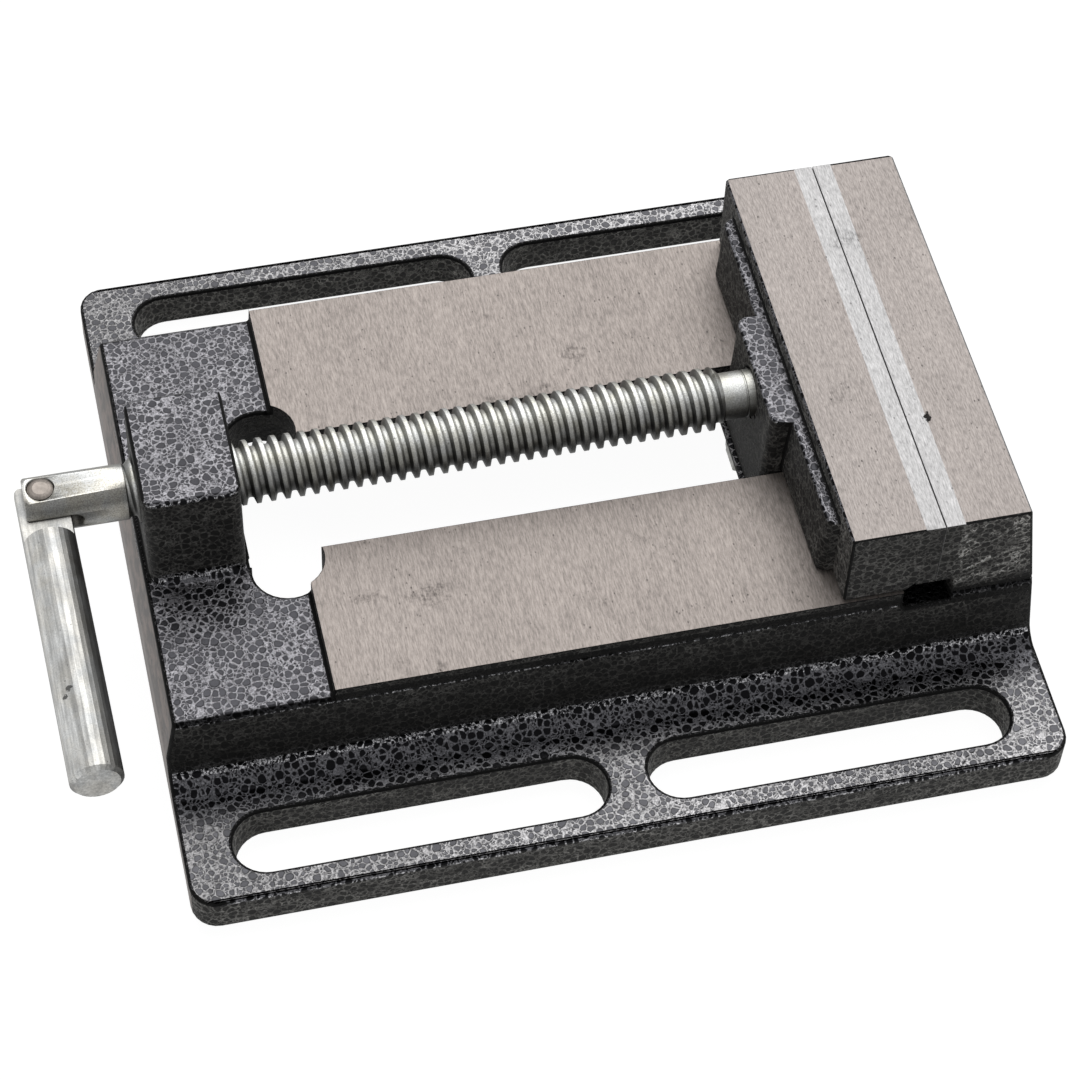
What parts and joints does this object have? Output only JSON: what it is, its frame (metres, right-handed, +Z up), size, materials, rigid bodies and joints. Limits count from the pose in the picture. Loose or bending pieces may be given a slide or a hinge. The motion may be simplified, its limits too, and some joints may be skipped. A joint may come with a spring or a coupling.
{
  "type": "drill press vise",
  "caption": "Low machine vise for a drill press table: slotted flanges, flat bed rails, ground jaw plates, and a lead screw turned by a folding bar handle.",
  "frame": {"origin": "the middle of the whole vise's footprint, on the underside that stands on the table", "axes": "+X along the lead screw from the handle to the fixed jaw, +Y across the vise to the back flange, +Z up"},
  "size_m": [0.204, 0.1632, 0.0511],
  "materials": {
    "hammered_paint_iron": "grey hammered paint, with the rails, jaw tops and left end ground bare",
    "ground_steel": "ground",
    "zinc_steel": "turned and zinc plated",
    "dark_steel": "blackened"
  },
  "bodies": {
    "base": {"base_casting": "hammered_paint_iron", "fixed_jaw_plate": "ground_steel", "fixed_plate_screw_front": "dark_steel", "fixed_plate_screw_back": "dark_steel"},
    "moving_jaw": {"moving_jaw_casting": "hammered_paint_iron", "moving_jaw_plate": "ground_steel", "moving_plate_screw_front": "dark_steel", "moving_plate_screw_back": "dark_steel", "screw_pin_front": "dark_steel", "screw_pin_back": "dark_steel", "keeper_plate": "hammered_paint_iron", "keeper_bolt_front": "zinc_steel", "keeper_bolt_back": "zinc_steel", "keeper_washer_front": "zinc_steel", "keeper_washer_back": "zinc_steel"},
    "screw": {"lead_screw": "zinc_steel", "handle_rivet": "zinc_steel"},
    "handle": {"handle_bar": "zinc_steel"}
  },
  "joints": [
    {"name": "jaw_slide", "type": "slide", "parent": "base", "child": "moving_jaw", "axis": [-1, 0, 0], "range_m": [0, 0.099]},
    {"name": "screw_turn", "type": "hinge", "parent": "moving_jaw", "child": "screw", "pos_m": [0.0456, 0, 0.0392], "axis": [-1, 0, 0], "range_deg": [0, 11880]},
    {"name": "handle_fold", "type": "hinge", "parent": "screw", "child": "handle", "pos_m": [-0.0966, 0, 0.0392], "axis": [0, 0, -1], "range_deg": [0, 180]}
  ],
  "couplings": [
    {"joint": "jaw_slide", "follows": "screw_turn", "m_per_rad": 0.00047746}
  ]
}
